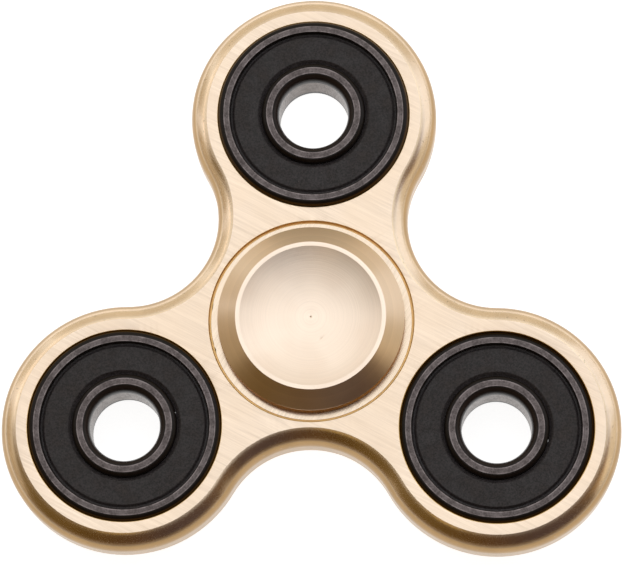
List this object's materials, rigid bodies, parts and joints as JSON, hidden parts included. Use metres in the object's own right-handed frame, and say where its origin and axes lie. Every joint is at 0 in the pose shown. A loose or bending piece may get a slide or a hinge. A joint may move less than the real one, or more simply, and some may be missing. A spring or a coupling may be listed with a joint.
{
  "type": "fidget spinner",
  "caption": "Flat lobed metal fidget spinner: a rounded body with a sealed ball bearing as a weight in each arm, turning on a hub bearing between dished finger caps.",
  "frame": {"origin": "on the spin axis, halfway through the body's thickness: the middle of the hub bearing", "axes": "+Z along the spin axis, out of the face with arm 1's bearing standing proud; +Y from the spin axis to arm 1, so +X runs along the greatest width, across arms 2 and 3"},
  "size_m": [0.0706, 0.065, 0.0126],
  "materials": {
    "body_gold": "anodised champagne gold, flat faces brushed, edge satin",
    "ring_gold": "anodised pale gold, brushed",
    "cap_gold": "anodised gold, fine turned satin",
    "race_steel": "blackened, ground, with a few rust specks",
    "seal_rubber": "matt black",
    "cage_nylon": "natural nylon",
    "ball_steel": "polished",
    "hub_race_steel": "ground",
    "hub_cage_steel": "pressed steel",
    "shield_steel": "bright rolled",
    "snap_ring_steel": "spring steel",
    "stud_steel": "zinc plated"
  },
  "bodies": {
    "hub": {"finger_cap_top": "cap_gold", "finger_cap_bottom": "cap_gold", "cap_stud": "stud_steel", "hub_bearing_inner_race": "hub_race_steel"},
    "rotor": {"body": "body_gold", "hub_ring": "ring_gold", "hub_bearing_outer_race": "hub_race_steel", "hub_bearing_shield_top": "shield_steel", "hub_bearing_shield_bottom": "shield_steel", "hub_bearing_snap_ring_top": "snap_ring_steel", "hub_bearing_snap_ring_bottom": "snap_ring_steel", "arm_1_bearing_outer_race": "race_steel", "arm_1_bearing_seal_top": "seal_rubber", "arm_1_bearing_seal_bottom": "seal_rubber", "arm_2_bearing_outer_race": "race_steel", "arm_2_bearing_seal_top": "seal_rubber", "arm_2_bearing_seal_bottom": "seal_rubber", "arm_3_bearing_outer_race": "race_steel", "arm_3_bearing_seal_top": "seal_rubber", "arm_3_bearing_seal_bottom": "seal_rubber"},
    "hub_cage": {"hub_bearing_cage": "hub_cage_steel", "hub_bearing_balls": "ball_steel"},
    "arm_1_race": {"arm_1_bearing_inner_race": "race_steel"},
    "arm_1_cage": {"arm_1_bearing_cage": "cage_nylon", "arm_1_bearing_balls": "ball_steel"},
    "arm_2_race": {"arm_2_bearing_inner_race": "race_steel"},
    "arm_2_cage": {"arm_2_bearing_cage": "cage_nylon", "arm_2_bearing_balls": "ball_steel"},
    "arm_3_race": {"arm_3_bearing_inner_race": "race_steel"},
    "arm_3_cage": {"arm_3_bearing_cage": "cage_nylon", "arm_3_bearing_balls": "ball_steel"}
  },
  "joints": [
    {"name": "rotor_spin", "type": "hinge", "parent": "hub", "child": "rotor", "pos_m": [0, 0, 0], "axis": [0, 0, 1], "continuous": true},
    {"name": "hub_cage_turn", "type": "hinge", "parent": "hub", "child": "hub_cage", "pos_m": [0, 0, 0], "axis": [0, 0, 1], "continuous": true},
    {"name": "arm_1_race_spin", "type": "hinge", "parent": "rotor", "child": "arm_1_race", "pos_m": [0, 0.0244, 0.00035], "axis": [0, 0, 1], "continuous": true},
    {"name": "arm_1_cage_turn", "type": "hinge", "parent": "rotor", "child": "arm_1_cage", "pos_m": [0, 0.0244, 0.00035], "axis": [0, 0, 1], "continuous": true},
    {"name": "arm_2_race_spin", "type": "hinge", "parent": "rotor", "child": "arm_2_race", "pos_m": [-0.02113, -0.0122, 0], "axis": [0, 0, 1], "continuous": true},
    {"name": "arm_2_cage_turn", "type": "hinge", "parent": "rotor", "child": "arm_2_cage", "pos_m": [-0.02113, -0.0122, 0], "axis": [0, 0, 1], "continuous": true},
    {"name": "arm_3_race_spin", "type": "hinge", "parent": "rotor", "child": "arm_3_race", "pos_m": [0.02113, -0.0122, -0.00035], "axis": [0, 0, 1], "continuous": true},
    {"name": "arm_3_cage_turn", "type": "hinge", "parent": "rotor", "child": "arm_3_cage", "pos_m": [0.02113, -0.0122, -0.00035], "axis": [0, 0, 1], "continuous": true}
  ],
  "couplings": [
    {"joint": "hub_cage_turn", "follows": "rotor_spin", "ratio": 0.58336},
    {"joint": "arm_1_cage_turn", "follows": "arm_1_race_spin", "ratio": 0.36773},
    {"joint": "arm_2_cage_turn", "follows": "arm_2_race_spin", "ratio": 0.36773},
    {"joint": "arm_3_cage_turn", "follows": "arm_3_race_spin", "ratio": 0.36773}
  ]
}
